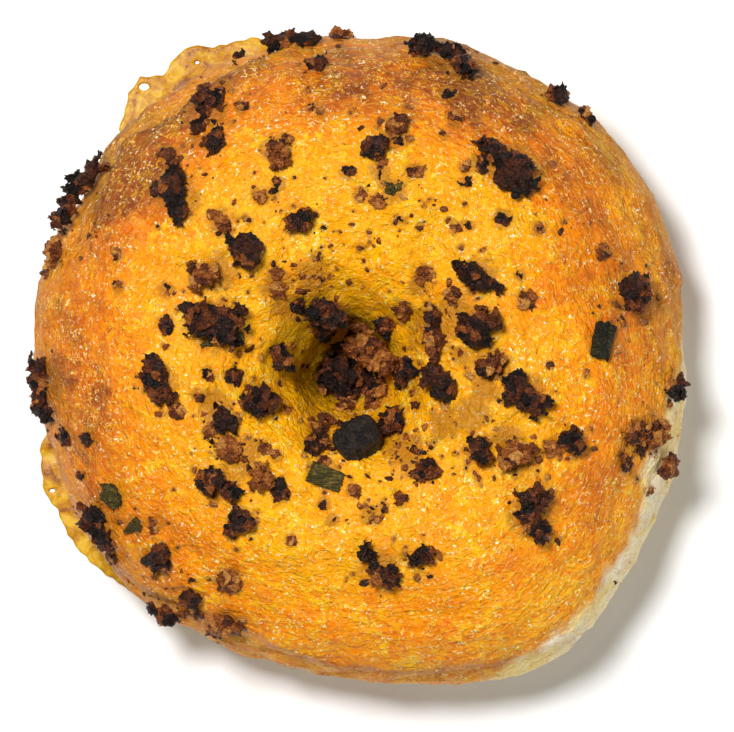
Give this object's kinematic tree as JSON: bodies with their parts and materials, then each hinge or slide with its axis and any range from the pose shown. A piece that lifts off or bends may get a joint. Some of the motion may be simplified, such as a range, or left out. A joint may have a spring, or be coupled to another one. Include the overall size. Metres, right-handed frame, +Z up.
{
  "type": "bagel",
  "caption": "Round savoury bagel with a golden melted-cheese crust, a funnel-shaped hole and baked-on bits of charred onion and chive.",
  "frame": {"origin": "on the surface it lies on, below the middle of its footprint", "axes": "+Z up out of the crown of the crust, +X to the right and +Y away from a person who looks down on it"},
  "size_m": [0.1146, 0.1144, 0.0458],
  "materials": {
    "cheese_crust": "satin",
    "crisp_cheese": "satin",
    "charred_onion": "satin",
    "browned_onion": "satin",
    "chive": "satin"
  },
  "bodies": {
    "root": {"bread_ring": "cheese_crust", "browned_onion_01": "browned_onion", "browned_onion_02": "browned_onion", "browned_onion_03": "browned_onion", "browned_onion_04": "browned_onion", "browned_onion_05": "browned_onion", "browned_onion_06": "browned_onion", "browned_onion_07": "browned_onion", "browned_onion_08": "browned_onion", "browned_onion_09": "browned_onion", "browned_onion_10": "browned_onion", "browned_onion_11": "browned_onion", "browned_onion_12": "browned_onion", "charred_onion_01": "charred_onion", "charred_onion_02": "charred_onion", "charred_onion_03": "charred_onion", "charred_onion_04": "charred_onion", "charred_onion_05": "charred_onion", "charred_onion_06": "charred_onion", "charred_onion_07": "charred_onion", "charred_onion_08": "charred_onion", "charred_onion_09": "charred_onion", "charred_onion_10": "charred_onion", "charred_onion_11": "charred_onion", "charred_onion_12": "charred_onion", "charred_onion_13": "charred_onion", "charred_onion_14": "charred_onion", "charred_onion_15": "charred_onion", "charred_onion_16": "charred_onion", "charred_onion_17": "charred_onion", "charred_onion_18": "charred_onion", "charred_onion_19": "charred_onion", "charred_onion_20": "charred_onion", "charred_onion_21": "charred_onion", "charred_onion_22": "charred_onion", "charred_onion_23": "charred_onion", "charred_onion_24": "charred_onion", "charred_onion_25": "charred_onion", "charred_onion_26": "charred_onion", "charred_onion_27": "charred_onion", "charred_onion_28": "charred_onion", "charred_onion_29": "charred_onion", "charred_onion_30": "charred_onion", "charred_onion_31": "charred_onion", "charred_onion_32": "charred_onion", "charred_onion_33": "charred_onion", "charred_onion_34": "charred_onion", "charred_onion_35": "charred_onion", "charred_onion_36": "charred_onion", "charred_onion_37": "charred_onion", "charred_onion_38": "charred_onion", "charred_onion_39": "charred_onion", "charred_onion_40": "charred_onion", "charred_onion_41": "charred_onion", "charred_onion_42": "charred_onion", "cheese_skirt_lower_left": "crisp_cheese", "cheese_skirt_upper_left": "crisp_cheese", "chive_01": "chive", "chive_02": "chive", "chive_03": "chive"}
  },
  "joints": []
}
